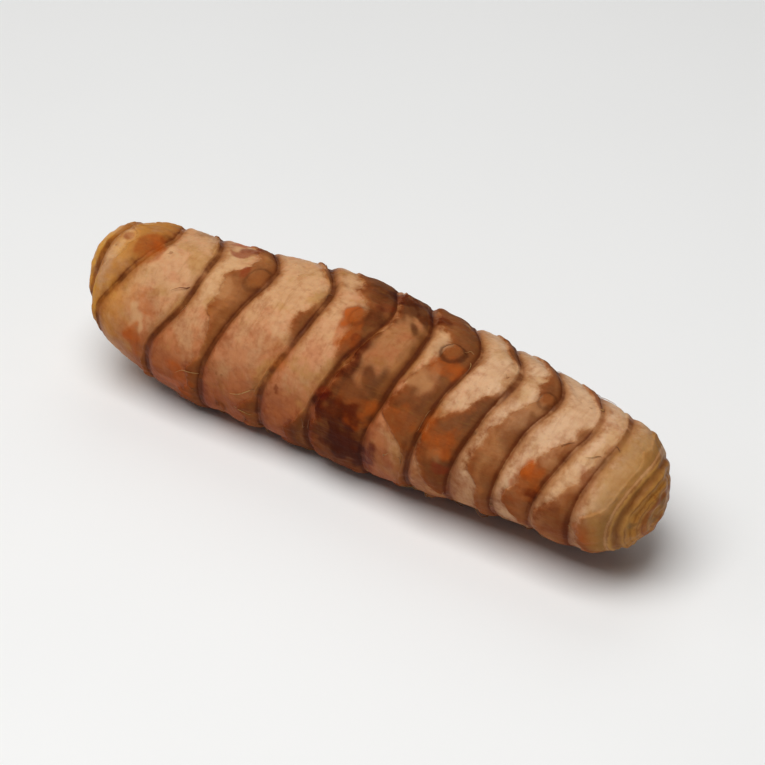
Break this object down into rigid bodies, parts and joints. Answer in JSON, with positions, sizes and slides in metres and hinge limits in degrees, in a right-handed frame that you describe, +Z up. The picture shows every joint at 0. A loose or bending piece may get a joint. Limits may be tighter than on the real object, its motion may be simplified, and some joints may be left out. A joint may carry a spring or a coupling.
{
  "type": "turmeric root",
  "caption": "Fresh turmeric finger lying on its side: a plump ringed rhizome with torn dry scales, small buds, a blunt tip and a round broken end.",
  "frame": {"origin": "on the surface that the root rests on, under the middle of its box", "axes": "+X along the root from its growing tip to its broken end, -Y towards the viewer of the picture, +Z up"},
  "size_m": [0.089, 0.0238, 0.0223],
  "materials": {
    "rhizome_skin": "matt, slightly waxy tan and pink skin, with bands of dry brown scale"
  },
  "bodies": {
    "root": {"turmeric_rhizome": "rhizome_skin"}
  },
  "joints": []
}
